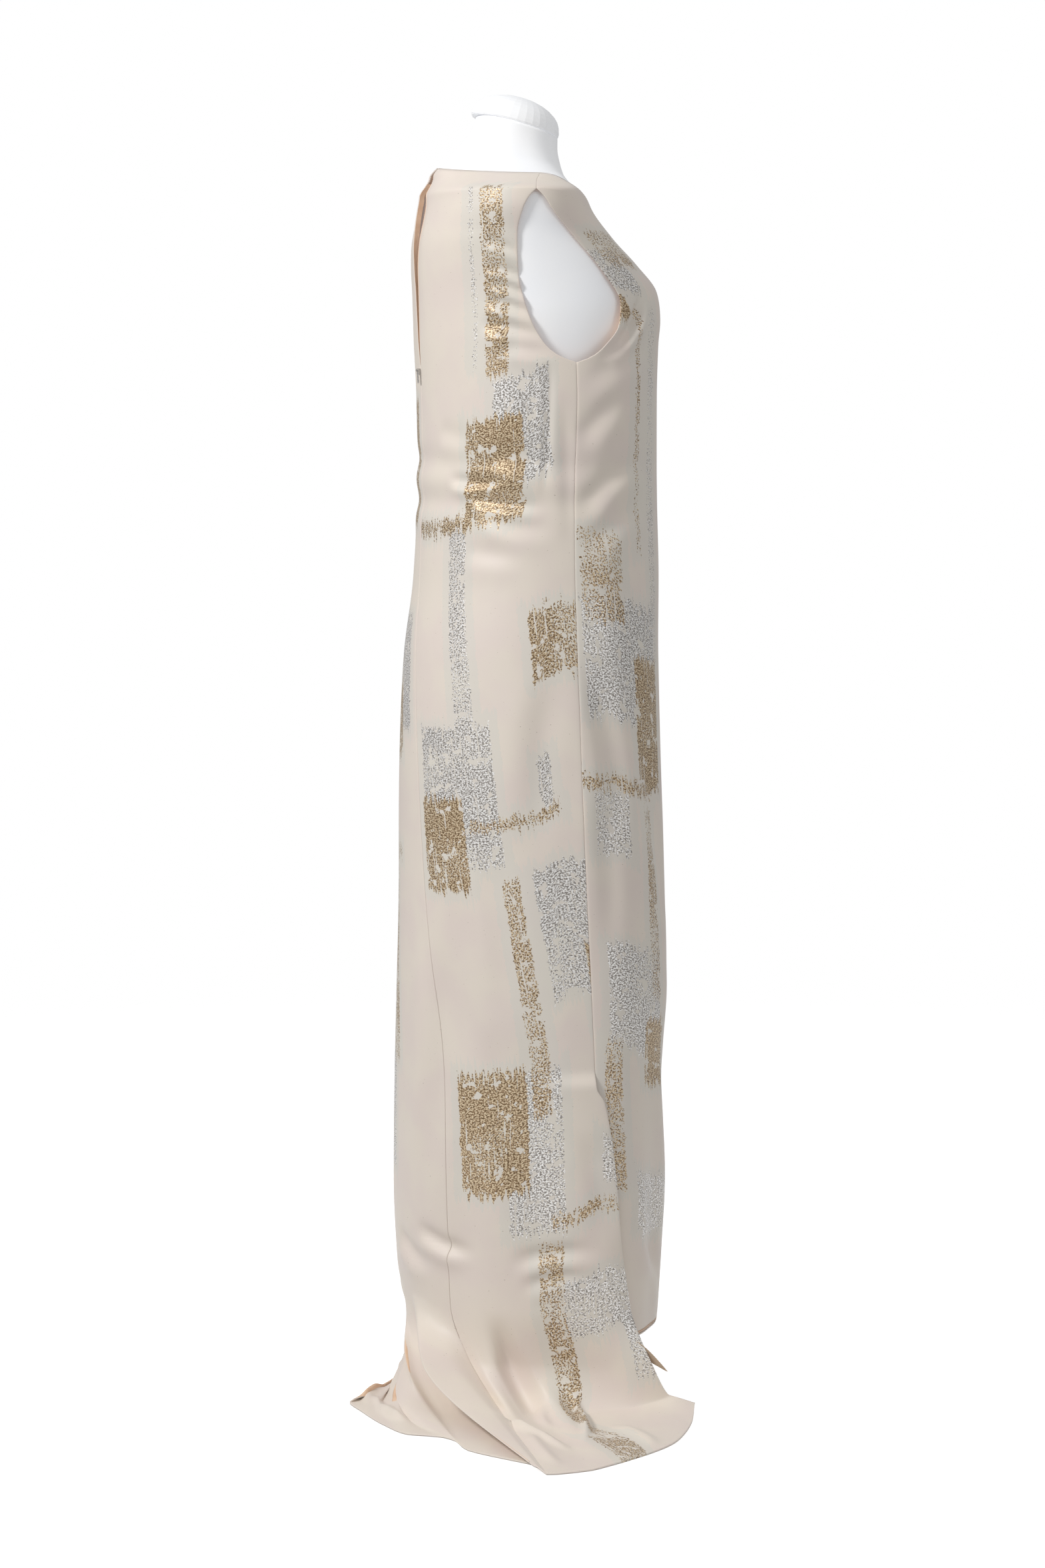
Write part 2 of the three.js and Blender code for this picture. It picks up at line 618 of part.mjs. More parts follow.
// The domed cap on the neck, seated on its slanted top.
function formNeckCap() {
  const section = formSection(FORM_SECTIONS.at(-1).z);
  const profile = [
    [0, 0],
    [CAP_RADIUS - 1.5, 0],
    [CAP_RADIUS, 2],
    [CAP_RADIUS, 6],
  ];
  for (let step = 1; step <= 8; step += 1) {
    const rise = radians(90 * (step / 8));
    profile.push([(CAP_RADIUS - 1) * Math.cos(rise), 7 + (CAP_HEIGHT - 7) * Math.sin(rise)]);
  }
  profile[profile.length - 1][0] = 0;
  const cap = turned(profile, 'form_neck_cap', formCover);
  cap.rotation.x = radians(NECK_TILT);
  cap.position.set(0, section.mid, FORM_SECTIONS.at(-1).z);
  cap.translateZ(FIT);
  return cap;
}

function formStand() {
  const group = new THREE.Group();
  const base = [
    [0, 0],
    [BASE_RADIUS, 0],
    [BASE_RADIUS, BASE_THICKNESS - 3],
    [BASE_RADIUS - 3, BASE_THICKNESS],
    [30, BASE_THICKNESS + 4],
    [24, BASE_THICKNESS + 12],
    [23, HUB_TOP],
    [0, HUB_TOP],
  ];
  group.add(turned(base, 'form_base', formCover));
  const low = HUB_TOP + FIT;
  const high = FORM_BOTTOM - FIT;
  const pole = new THREE.CylinderGeometry(POLE_RADIUS, POLE_RADIUS, high - low, 32);
  pole.rotateX(Math.PI / 2);
  const mesh = namedMesh(pole, 'form_pole', metal);
  mesh.position.z = (low + high) / 2;
  group.add(mesh);
  return group;
}

const dress = new THREE.Group();
dress.add(dressFront());
dress.add(...dressBacks());
dress.add(slitFacing('back_slit_facing_right', 1));
dress.add(slitFacing('back_slit_facing_left', -1));
dress.add(sideSlitFacing());
dress.add(zipPull());
dress.add(neckHookAndEye());

const form = new THREE.Group();
form.add(formTorso());
form.add(formNeckCap());
form.add(formStand());

const part = new THREE.Group();
part.add(dress, form);

export default part;
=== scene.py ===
"""A sleeveless maxi dress with a train, woven with worn gold and silver, on a plain dress form."""

import math

import bpy
import numpy as np
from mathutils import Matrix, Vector


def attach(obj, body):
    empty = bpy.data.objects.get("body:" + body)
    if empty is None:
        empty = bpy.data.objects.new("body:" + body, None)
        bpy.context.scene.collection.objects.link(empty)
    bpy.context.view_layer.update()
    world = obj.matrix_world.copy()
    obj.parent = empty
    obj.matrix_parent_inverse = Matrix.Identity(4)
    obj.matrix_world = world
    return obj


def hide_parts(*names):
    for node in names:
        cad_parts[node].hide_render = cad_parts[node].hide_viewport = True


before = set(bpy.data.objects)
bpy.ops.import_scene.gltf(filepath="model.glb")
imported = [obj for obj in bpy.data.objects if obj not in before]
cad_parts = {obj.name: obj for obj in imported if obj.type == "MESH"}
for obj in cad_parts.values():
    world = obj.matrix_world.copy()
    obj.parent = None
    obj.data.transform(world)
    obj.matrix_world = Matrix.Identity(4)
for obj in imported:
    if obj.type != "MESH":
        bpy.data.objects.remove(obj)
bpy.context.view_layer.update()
MM = 0.001

# The front of the dress
# One piece of silk from the boat neck to a hem that clears the floor. It is cut with a dart to the
# bust from each armhole, sewn to the back at shoulders and sides, and slit at both sides below.


def table(names, *rows):
    """A short table as one array for each named column."""
    return {name: np.array(column, float) for name, column in zip(names.split(), zip(*rows))}


def through(at, value, place):
    """A smooth way through values, or rows of values, with no overshoot between them."""
    at, value = np.asarray(at, float), np.asarray(value, float)
    tall = (-1,) + (1,) * (value.ndim - 1)
    steps = np.diff(at).reshape(tall)
    rise = np.diff(value, axis=0) / steps
    product = rise[:-1] * rise[1:]
    total = np.where(product > 0, rise[:-1] + rise[1:], 1)
    inner = np.where(product > 0, 2 * product / total, 0)
    slope = np.concatenate([rise[:1], inner, rise[-1:]])
    x = np.clip(place, at[0], at[-1])
    i = np.clip(np.searchsorted(at, x, side="right") - 1, 0, len(at) - 2)
    span = at[i + 1] - at[i]
    t = (x - at[i]) / span
    if value.ndim > 1:
        span, t = np.asarray(span)[..., None], np.asarray(t)[..., None]
    bow = span * t * (1 - t) * (slope[i] * (1 - t) - slope[i + 1] * t)
    return value[i] + (value[i + 1] - value[i]) * t * t * (3 - 2 * t) + bow


def curve(rows, key, name):
    """A smooth curve through one column of a table."""
    return lambda place: through(rows[key], rows[name], place)


def ease(value, low, high):
    """Rises smoothly from 0 at low to 1 at high."""
    t = np.clip((value - low) / (high - low), 0, 1)
    return t * t * (3 - 2 * t)


def hill(value):
    return np.exp(-value * value)


DRESS_SECTIONS = table(
    "z half front back mid seam",
    (0, 188, 100, 176, -36, 37),
    (50, 189, 104, 178, -36, 36.5),
    (100, 191, 111, 196, -36, 36),
    (249, 194, 119, 205, -36, 35),
    (397, 192, 121, 199, -32, 33.5),
    (495, 190, 132, 192, -28, 30),
    (625, 186, 134, 181, -22, 23.5),
    (787, 182, 134, 172, -16, 17),
    (883, 177, 134, 165, -14, 12),
    (979, 168, 136, 152, -13, 5),
    (1075, 162, 133, 148, -14, 3),
    (1186, 165, 130, 151, -16, 3),
    (1249, 163, 134, 152, -14, 3),
    (1280, 160, 142, 148, -9, 3),
    (1312, 157, 147, 140, 0, 3),
    (1343, 156, 134, 129, 12, 3),
    (1374, 157, 116, 114, 25, 3),
    (1406, 162, 95, 101, 31, 2),
    (1423, 160, 86, 99, 31, 1),
    (1435, 131, 72, 100, 24, 0),
    (1446, 100, 54, 106, 14, 0),
    (1460, 64, 42, 96, 14, 0),
)
SECTION_POWER = 2.15
half_at = curve(DRESS_SECTIONS, "z", "half")
front_at = curve(DRESS_SECTIONS, "z", "front")
back_at = curve(DRESS_SECTIONS, "z", "back")
mid_at = curve(DRESS_SECTIONS, "z", "mid")
seam_at = curve(DRESS_SECTIONS, "z", "seam")

# Long soft folds of the skirt. turn: place round the body, 0 front, 90 right side, 180 back.
FOLDS = table(
    "turn wide deep low high",
    (138, 9, 7, 90, 760),
    (112, 8, 4, 120, 620),
    (196, 10, 5, 60, 700),
    (236, 9, 8, 60, 720),
    (308, 9, 6, 0, 640),
    (342, 8, 5, 0, 820),
    (28, 9, 5, 0, 700),
    (62, 8, 4, 0, 560),
)

# Creases, each a trough from one place to another with a ridge on one side of it.
# z, turn: where it starts. to_z, to_turn: where it ends. bow: how far its middle swings out, in mm.
CREASES = table(
    "z turn to_z to_turn bow wide deep",
    (1336, 121, 1314, 101, 4, 6, 3.4),
    (1318, 122, 1292, 101, 5, 7, 4.0),
    (1298, 126, 1272, 100, 5, 8, 3.8),
    (1270, 130, 1252, 98, 4, 9, 3.2),
    (1246, 122, 1234, 97, 3, 9, 2.4),
    (1368, 116, 1346, 102, 2, 6, 3.0),
    (1094, 150, 1090, 116, -4, 7, 4.2),
    (1080, 140, 1060, 100, -5, 8, 3.6),
    (1062, 134, 1034, 95, -7, 12, 2.6),
    (1124, 128, 1110, 98, 3, 13, 1.6),
    (1008, 140, 1000, 108, 3, 12, 1.4),
    (1148, 158, 1132, 132, 3, 12, 1.6),
    (1050, 90, 1122, 56, 8, 13, 3.0),
    (1004, 88, 1066, 52, 10, 15, 2.0),
    (1128, 90, 1196, 66, 6, 13, 2.2),
    (1196, 90, 1252, 48, 5, 14, 1.6),
    (1246, 72, 1300, 50, -4, 7, 4.0),
    (1262, 66, 1316, 47, -5, 6, 3.6),
    (1232, 80, 1270, 60, -4, 8, 2.2),
    (1240, 101, 1062, 103, 1, 5, 1.5),
    (1200, 96, 1000, 92, 2, 9, 1.2),
    (900, 86, 640, 74, 6, 16, 4.0),
    (880, 100, 640, 106, -5, 18, 2.6),
    (760, 84, 520, 82, 6, 14, 2.6),
    (830, 60, 560, 42, -9, 20, 3.2),
    (700, 128, 420, 120, 7, 20, 3.2),
    (560, 148, 250, 152, 6, 16, 3.4),
    (470, 126, 250, 116, -8, 20, 3.0),
    (212, 160, 186, 132, -6, 9, 4.6),
    (196, 176, 160, 150, -6, 11, 4.0),
    (178, 122, 196, 88, 6, 10, 3.4),
    (150, 118, 168, 92, 5, 9, 2.4),
    (340, 96, 200, 86, 4, 14, 2.4),
    (300, 68, 120, 58, 6, 16, 3.0),
    (420, 44, 180, 30, -6, 20, 3.2),
    (210, 74, 120, 46, 8, 12, 3.2),
    (1336, 241, 1312, 257, 4, 9, 2.4),
    (1306, 238, 1280, 257, 5, 9, 2.2),
    (1276, 236, 1262, 256, 4, 11, 1.4),
    (1098, 204, 1086, 246, 5, 8, 3.6),
    (1074, 218, 1054, 262, 5, 9, 3.4),
    (1122, 232, 1108, 262, -4, 13, 1.6),
    (1046, 270, 1112, 302, -8, 13, 2.8),
    (1012, 272, 1076, 306, -9, 15, 2.0),
    (1132, 271, 1190, 292, -6, 13, 2.0),
    (1244, 289, 1300, 309, 4, 7, 3.8),
    (1264, 295, 1314, 311, 5, 6, 3.2),
    (1236, 259, 1050, 258, -2, 5, 1.4),
    (880, 274, 620, 288, -6, 16, 3.6),
    (840, 250, 560, 262, 7, 20, 3.0),
    (720, 222, 430, 214, -7, 20, 3.2),
    (500, 250, 240, 262, 8, 18, 3.0),
    (220, 206, 190, 236, -6, 10, 4.4),
    (182, 240, 170, 266, 5, 11, 3.2),
    (820, 330, 480, 322, 8, 20, 3.0),
    (540, 352, 200, 346, -8, 20, 3.0),
    (640, 12, 300, 4, 8, 22, 2.8),
    (1120, 334, 1096, 12, 6, 14, 1.8),
    (1080, 350, 1066, 28, -6, 14, 1.6),
    (250, 310, 120, 322, 6, 12, 3.0),
)
# The skirt's back is drawn in above the train, most at this turn, by this much at the lower level.
DRAWN_TURN, DRAWN_WIDE, DRAWN_IN, DRAWN_LOW, DRAWN_HIGH = 186, 34, 4, 95, 150
MM_PER_DEGREE = 2.9
CREASE_STRENGTH = 1.45


def crease_depth(z, turn):
    """How far the creases move the cloth out at each place; a trough is below 0."""
    moved = np.zeros(np.broadcast(z, turn).shape)
    for start_z, start, end_z, end, bow, wide, deep in zip(*CREASES.values()):
        middle = (start + end) / 2
        near = (turn - middle + 180) % 360 - 180 + middle
        along = np.array([(end - start) * MM_PER_DEGREE, end_z - start_z])
        length = np.hypot(*along)
        along /= length
        dx, dz = (near - start) * MM_PER_DEGREE, z - start_z
        t = (dx * along[0] + dz * along[1]) / length
        inside = np.clip(t, 0, 1)
        away = dx * along[1] - dz * along[0] - bow * 4 * inside * (1 - inside)
        fade = ease(t, 0, 0.3) * (1 - ease(t, 0.55, 1))
        shape = -hill(away / wide) + 0.6 * hill((away + 1.6 * wide) / (1.2 * wide))
        moved += CREASE_STRENGTH * deep * fade * shape
    return moved


def section_points(z, turn, out):
    angle = np.radians(turn)
    depth = np.where(np.cos(angle) > 0, front_at(z), back_at(z))
    across = np.abs(np.sin(angle) / half_at(z)) ** SECTION_POWER
    along = np.abs(np.cos(angle) / depth) ** SECTION_POWER
    reach = (across + along) ** (-1 / SECTION_POWER) + out
    return np.stack([-reach * np.sin(angle), mid_at(z) - reach * np.cos(angle), z + 0 * angle], -1)


def dress_points(z, turn, out=0.0):
    """Places on the worn dress, in mm, with its folds and creases."""
    z, turn = np.broadcast_arrays(np.asarray(z, float), np.asarray(turn, float))
    folds = np.zeros(z.shape)
    for centre, wide, deep, low, high in zip(*FOLDS.values()):
        away = np.abs((turn - centre + 180) % 360 - 180) / wide
        fade = (1 - ease(z, high - 260, high)) * ease(z, low - 1, low + 120)
        folds += deep * fade * hill(away)
    drawn = DRAWN_IN * (1 - ease(z, DRAWN_LOW, DRAWN_HIGH)) * hill((turn - DRAWN_TURN) / DRAWN_WIDE)
    return section_points(z, turn, out - folds - drawn + crease_depth(z, turn))


SHOULDER_POINT, SHOULDER_TIP = 1446, 1423
ARMHOLE_BOTTOM = 1226
YOKE_LEVEL = 1374
FRONT_NECK_DROP, BACK_NECK_RISE = 46, 11
SLIT_TOP = 407
FRONT_HEM = 84
SEAM_HALF_GAP = 0.05
ARMHOLE = table(
    "z front back",
    (1226, -15.5, -15.5),
    (1233, -34, 4),
    (1247, -52, 21),
    (1271, -70, 35),
    (1295, -73, 43),
    (1326, -55, 50),
    (1374, -12, 52),
    (1400, 12, 47),
    (1414, 22, 40),
    (1423, 31, 31),
)
SIDE_LAP = table(
    "z turn",
    (0, 15),
    (103, 13),
    (158, 10),
    (200, 8),
    (262, 6.5),
    (330, 4.5),
    (371, 2.5),
    (388, 0),
    (407, 0),
)
side_lap = curve(SIDE_LAP, "z", "turn")


def turn_at(z, y, low, high):
    """The turn at which the plain section reaches a place along Y."""
    for _ in range(16):
        middle = (low + high) / 2
        below = section_points(z, middle, 0)[..., 1] < y
        low, high = np.where(below, middle, low), np.where(below, high, middle)
    return (low + high) / 2


def panel_edge(z, side):
    """The turn of a panel's edge at the wearer's right: side is front or back."""
    inside = (z > ARMHOLE_BOTTOM) & (z < SHOULDER_TIP)
    seam = np.degrees(SEAM_HALF_GAP / half_at(z))
    if side == "front":
        low, high, plain = 0 * z, 0 * z + 90, 90 - seam
    else:
        lap = np.where(z < SLIT_TOP, side_lap(z), 0)
        low, high, plain = 0 * z + 90, 0 * z + 180, 90 + seam - lap
    if not inside.any():
        return plain
    return np.where(inside, turn_at(z, curve(ARMHOLE, "z", side)(z), low, high), plain)


def neckline(turn):
    across = np.abs(np.sin(np.radians(turn)))
    front = SHOULDER_POINT - FRONT_NECK_DROP * (1 - across**4)
    return np.where(np.cos(np.radians(turn)) > 0, front, SHOULDER_POINT + BACK_NECK_RISE * (1 - across))


LIP = np.array([0, 0.5, 1.3, 2.6, 4.5])
LIP_FALL = np.array([0.6, 0.3, 0.1, 0.02, 0])


def lipped(count, width):
    """Places across a panel in mm: close together at both edges, even between them."""
    between = np.linspace(LIP[-1], width - LIP[-1], count)[1:-1]
    return np.concatenate([LIP, between, width - LIP[::-1]])


def lip_fall(count):
    return np.concatenate([LIP_FALL, np.zeros(count - 2), LIP_FALL[::-1]])


def cloth_panel(name, points, level, first_column=0):
    """A thin mesh of cloth from rows of outer points in mm, with its weave laid out as a UV map.

    level holds the height at which each column's weave is counted, down its length."""
    rows, columns = points.shape[:2]
    index = np.arange(rows * columns).reshape(rows, columns)
    corners = [index[:-1, :-1], index[:-1, 1:], index[1:, 1:], index[1:, :-1]]
    quads = np.stack(corners, -1).reshape(-1, 4)
    mesh = bpy.data.meshes.new(name)
    mesh.from_pydata((points.reshape(-1, 3) * MM).tolist(), [], quads.tolist())
    across = np.cumsum(np.linalg.norm(np.diff(points, axis=1, prepend=points[:, :1]), axis=2), axis=1)
    across -= across[:, first_column : first_column + 1]
    down = np.cumsum(np.linalg.norm(np.diff(points, axis=0, prepend=points[:1]), axis=2), axis=0)
    counted = np.argmin(np.abs(points[..., 2] - level), axis=0)
    height = level - (down - down[counted, np.arange(columns)])
    weave = np.stack([across, height], -1).reshape(-1, 2) * MM
    loops = np.empty(len(mesh.loops), int)
    mesh.loops.foreach_get("vertex_index", loops)
    mesh.uv_layers.new(name="weave").data.foreach_set("uv", weave[loops].astype(np.float32).ravel())
    mesh.shade_smooth()
    panel = bpy.data.objects.new(name, mesh)
    bpy.context.scene.collection.objects.link(panel)
    return panel


FRONT_COLUMNS = 104
# Rows of the mesh: this far apart below the yoke, and this many in the yoke. Each row's width is
# measured over a number of places across it.
ROW_STEP, YOKE_ROWS, MEASURED_PLACES = 4.5, 27, 201
row_levels = np.arange(YOKE_LEVEL - 4, FRONT_HEM, -ROW_STEP)
fine_levels = np.union1d(row_levels, [ARMHOLE_BOTTOM, ARMHOLE_BOTTOM + 1])[::-1]
tip_rise = (SHOULDER_TIP - YOKE_LEVEL) / (SHOULDER_POINT - YOKE_LEVEL)
yoke_rises = np.union1d(np.linspace(0, 1, YOKE_ROWS), tip_rise)


def front_points():
    rows = []
    for rise in yoke_rises[::-1]:
        rows.append(lambda share, rise=rise: YOKE_LEVEL + (neckline(180 * share - 90) - YOKE_LEVEL) * rise)
    for level in [*fine_levels, *(FRONT_HEM + LIP[::-1])]:
        rows.append(lambda share, level=level: level + 0 * share)
    lip_rows = np.concatenate([np.zeros(len(rows) - len(LIP)), LIP_FALL[::-1]])
    grid = []
    for height, low_lip in zip(rows, lip_rows):
        share = np.linspace(0, 1, MEASURED_PLACES)
        z = height(share)
        edge = panel_edge(z, "front")
        turns = (2 * share - 1) * edge
        line = section_points(z, turns, 0)
        length = np.concatenate([[0], np.cumsum(np.linalg.norm(np.diff(line, axis=0), axis=1))])
        share = np.interp(lipped(FRONT_COLUMNS, length[-1]), length, share)
        z = height(share)
        turns = (2 * share - 1) * panel_edge(z, "front")
        out = -lip_fall(FRONT_COLUMNS) - low_lip
        grid.append(dress_points(z, turns, out))
    return np.array(grid)


points = front_points()
front = cloth_panel("front_panel", points, YOKE_LEVEL, points.shape[1] // 2)


class Thread:
    """A value that runs through a material. Sums on it add the nodes that work them out."""

    def __init__(self, tree, socket=None):
        self.tree, self.socket = tree, socket

    def node(self, kind, settings=(), inputs=(), out=0):
        """A node of one kind: its settings first, then the values or links of its sockets."""
        made = self.tree.nodes.new("ShaderNode" + kind)
        for name, value in dict(settings).items():
            if name == "stops":
                ramp = made.color_ramp.elements
                while len(ramp) < len(value):
                    ramp.new(0.5)
                for stop, (place, colour) in zip(ramp, value):
                    stop.position, stop.color = place, (*colour, 1)
            else:
                setattr(made, name, value)
        for name, value in dict(inputs).items():
            if isinstance(value, Thread):
                self.tree.links.new(value.socket, made.inputs[name])
            else:
                made.inputs[name].default_value = value
        return Thread(self.tree, made.outputs[out])

    def sum(self, operation, first, second=0.0):
        return self.node("Math", {"operation": operation}, {0: first, 1: second})

    def __add__(self, other):
        return self.sum("ADD", self, other)

    __radd__ = __add__

    def __sub__(self, other):
        return self.sum("SUBTRACT", self, other)

    def __rsub__(self, other):
        return self.sum("SUBTRACT", other, self)

    def __mul__(self, other):
        return self.sum("MULTIPLY", self, other)

    __rmul__ = __mul__

    def most(self, other):
        return self.sum("MAXIMUM", self, other)

    def rise(self, low, high, to_low=0.0, to_high=1.0):
        """Goes smoothly from to_low at low to to_high at high."""
        ends = {"Value": self, "From Min": low, "From Max": high, "To Min": to_low, "To Max": to_high}
        return self.node("MapRange", {"interpolation_type": "SMOOTHSTEP"}, ends)

    def noise(self, scale, detail=2.0, seed=0.0):
        """Uneven values about 0.5 over the place that this thread holds, in metres."""
        kind = {"noise_dimensions": "4D"}
        return self.node("TexNoise", kind, {"Vector": self, "W": seed, "Scale": scale, "Detail": detail})

    def scaled(self, x, y, z=1.0):
        return self.node("VectorMath", {"operation": "MULTIPLY"}, {0: self, 1: (x, y, z)})

    def blend(self, low, high):
        """A colour between two others, by this thread."""
        return self.node("Mix", {"data_type": "RGBA"}, {0: self, 6: low, 7: high}, 2)


def finish_of(name, constants):
    """A new material, its shader with constant values set, and a first thread in it."""
    material = bpy.data.materials.new(name)
    material.use_nodes = True
    shader = material.node_tree.nodes["Principled BSDF"]
    for socket, value in constants.items():
        shader.inputs[socket].default_value = value
    return material, shader, Thread(material.node_tree)


def feed(shader, threads):
    """Joins threads to the shader's sockets that vary over the surface."""
    for socket, thread in threads.items():
        thread.tree.links.new(thread.socket, shader.inputs[socket])


CREAM, BLUSH, COOL = (0.80, 0.72, 0.63, 1), (0.78, 0.685, 0.62, 1), (0.70, 0.685, 0.62, 1)
# Each metal's light colour is a painted glint and its middle colour is the thread's own. Its deep colour is
# partly the thread's own and partly a painted dark reflection.
GOLD_PAINTED_GLINT, GOLD_MIDDLE, GOLD_DEEP = (0.70, 0.57, 0.39), (0.32, 0.21, 0.115), (0.14, 0.09, 0.045)
SILVER_PAINTED_GLINT, SILVER_MIDDLE, SILVER_DEEP = (0.90, 0.88, 0.86), (0.46, 0.43, 0.40), (0.22, 0.20, 0.18)


def woven_silk(name, patches):
    """Satin silk with worn blocks and bands of gold and silver thread, laid out in mm on the weave.

    across, height: a patch's middle. wide, tall: half its size. gold: 1, or 0 for silver.
    fill: how much of the thread is left."""
    material, shader, start = finish_of(
        name, {"Sheen Weight": 0.2, "Sheen Roughness": 0.4, "Specular IOR Level": 0.4}
    )
    weave = start.node("UVMap", {"uv_map": "weave"})
    cloud = weave.noise(15, 2, 3)
    clump = weave.noise(75, 3, 4)
    drag = weave.scaled(1, 0.05).noise(300, 2, 5)
    cross = weave.scaled(0.05, 1).noise(300, 2, 9)
    sideways = (cross - 0.5) * 0.008 + (clump - 0.5) * 0.006
    upward = (drag - 0.5) * 0.055 + (clump - 0.5) * 0.012
    ragged = start.node("CombineXYZ", {}, {0: sideways, 1: upward})
    place = start.node("VectorMath", {"operation": "ADD"}, {0: weave, 1: ragged})
    kept = [None, None]
    for across, height, wide, tall, gold, fill in zip(*patches.values()):
        middle = (across * MM, height * MM, 0)
        moved = place.node("VectorMath", {"operation": "SUBTRACT"}, {0: place, 1: middle})
        moved = moved.node("VectorMath", {"operation": "ABSOLUTE"}, {0: moved})
        moved = moved.node("VectorMath", {"operation": "SUBTRACT"}, {0: moved, 1: (wide * MM, tall * MM, 0)})
        apart = moved.node("SeparateXYZ", {}, {0: moved})
        outside = apart.most(Thread(apart.tree, apart.socket.node.outputs[1]))
        left = outside.rise(-0.0015, 0.0008, fill, 0) + outside.rise(0.0105, 0.012, 0, -1)
        kind = int(gold)
        kept[kind] = left if kept[kind] is None else kept[kind].most(left)
    ghost = kept[0].most(kept[1]).rise(-0.6, -0.4)
    holes = clump.rise(0.36, 0.44) * drag.rise(0.30, 0.42)
    thinned = 0.6 + 0.4 * cloud.rise(0.35, 0.65)
    fleck = weave.scaled(1, 0.8).noise(480, 2, 1)
    # Noise that paints glints on the metal threads: its bright flecks are painted highlights and its dark
    # flecks painted reflection. The same noise also raises the threads' bump.
    painted_glint_noise = weave.scaled(0.75, 1).noise(560, 2, 12)
    painted_glint = painted_glint_noise.rise(0.34, 0.60)
    colour = cloud.rise(0.35, 0.65).blend(CREAM, BLUSH)
    colour = (ghost * 0.5).blend(colour, COOL)
    metal = None
    tones = ((SILVER_DEEP, SILVER_MIDDLE, SILVER_PAINTED_GLINT), (GOLD_DEEP, GOLD_MIDDLE, GOLD_PAINTED_GLINT))
    for left, (deep, middle, light) in zip(kept, tones):
        thread = left.most(0.0) * holes * thinned
        on = (thread * 1.3 - fleck.rise(0.25, 0.75)).rise(-0.05, 0.05)
        # The ramp runs from a partly painted dark reflection, through the thread's own colour, to a painted
        # highlight.
        stops = [(0.1, deep), (0.4, middle), (0.68, middle), (0.85, light)]
        shade = start.node("ValToRGB", {"stops": stops}, {0: painted_glint})
        colour = on.blend(colour, shade)
        metal = on if metal is None else metal.most(on)
    ribs = weave.scaled(1, 0.25).noise(1400, 1, 21)
    relief = ribs * 0.2 + metal * (painted_glint_noise * 1.2 + 0.5)
    bump = start.node("Bump", {}, {"Height": relief, "Strength": 0.25, "Distance": 0.0006})
    varying = {"Base Color": colour, "Metallic": metal * 0.35, "Roughness": metal.rise(0, 1, 0.5, 0.46)}
    feed(shader, {**varying, "Normal": bump})
    return material


FRONT_PATCHES = table(
    "across height wide tall gold fill",
    (126, 1352, 34, 26, 1, 0.55),
    (170, 1318, 44, 30, 0, 0.8),
    (196, 1268, 34, 16, 1, 0.9),
    (112, 1060, 10, 210, 0, 0.42),
    (146, 1120, 5, 150, 1, 0.4),
    (206, 930, 28, 52, 1, 0.55),
    (176, 838, 62, 70, 0, 0.85),
    (138, 770, 30, 76, 1, 0.95),
    (196, 690, 62, 8, 1, 0.6),
    (214, 642, 24, 36, 0, 0.6),
    (150, 560, 12, 110, 1, 0.5),
    (186, 440, 48, 62, 0, 0.75),
    (148, 382, 26, 40, 1, 0.9),
    (226, 300, 12, 90, 1, 0.5),
    (140, 200, 58, 34, 0, 0.6),
    (-30, 1180, 12, 230, 1, 0.5),
    (-116, 1090, 52, 78, 0, 0.85),
    (-70, 1030, 40, 44, 1, 0.95),
    (-60, 880, 90, 9, 1, 0.6),
    (-170, 760, 40, 100, 0, 0.75),
    (-74, 600, 16, 240, 1, 0.5),
    (-150, 420, 50, 66, 1, 0.9),
    (20, 360, 54, 62, 0, 0.7),
    (-20, 250, 30, 40, 1, 0.85),
)
front.data.materials.append(woven_silk("silk_front", FRONT_PATCHES))

PEACH, PEACH_DEEP = (0.84, 0.60, 0.42, 1), (0.76, 0.50, 0.33, 1)
# Fawn is the peach lining darkened: painted shade for the side slit's loose end, which lies in shadow.
FAWN, FAWN_DEEP = (0.56, 0.43, 0.31, 1), (0.44, 0.33, 0.23, 1)


def smooth_cloth(name, light, deep):
    material, shader, start = finish_of(name, {"Sheen Weight": 0.2, "Roughness": 0.55})
    place = start.node("NewGeometry")
    patchy = place.noise(60, 3, 2)
    weave = place.noise(1800, 1, 4)
    bump = start.node("Bump", {}, {"Height": weave, "Strength": 0.15, "Distance": 0.0004})
    feed(shader, {"Base Color": patchy.rise(0.3, 0.7).blend(light, deep), "Normal": bump})
    return material


lining = smooth_cloth("peach_lining", PEACH, PEACH_DEEP)
painted_shade_lining = smooth_cloth("fawn_facing_painted_shade", FAWN, FAWN_DEEP)
SILK_THICKNESS = 1.6


def line_panel(panel):
    """Gives a panel its thickness: silk outside and on its edges, lining inside."""
    panel.data.materials.append(lining)
    shell = panel.modifiers.new("thickness", "SOLIDIFY")
    shell.thickness = SILK_THICKNESS * MM
    shell.offset = -1
    shell.use_quality_normals = True
    shell.material_offset = 1
    shell.material_offset_rim = 0


line_panel(front)
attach(front, "dress")
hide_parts("dress_front")

# The two halves of the back
# Each runs from the neck to a train on the floor, in one piece. They meet in the centre back seam,
# which is open from the zip up to the neck hook, and the train is swept to the wearer's right.

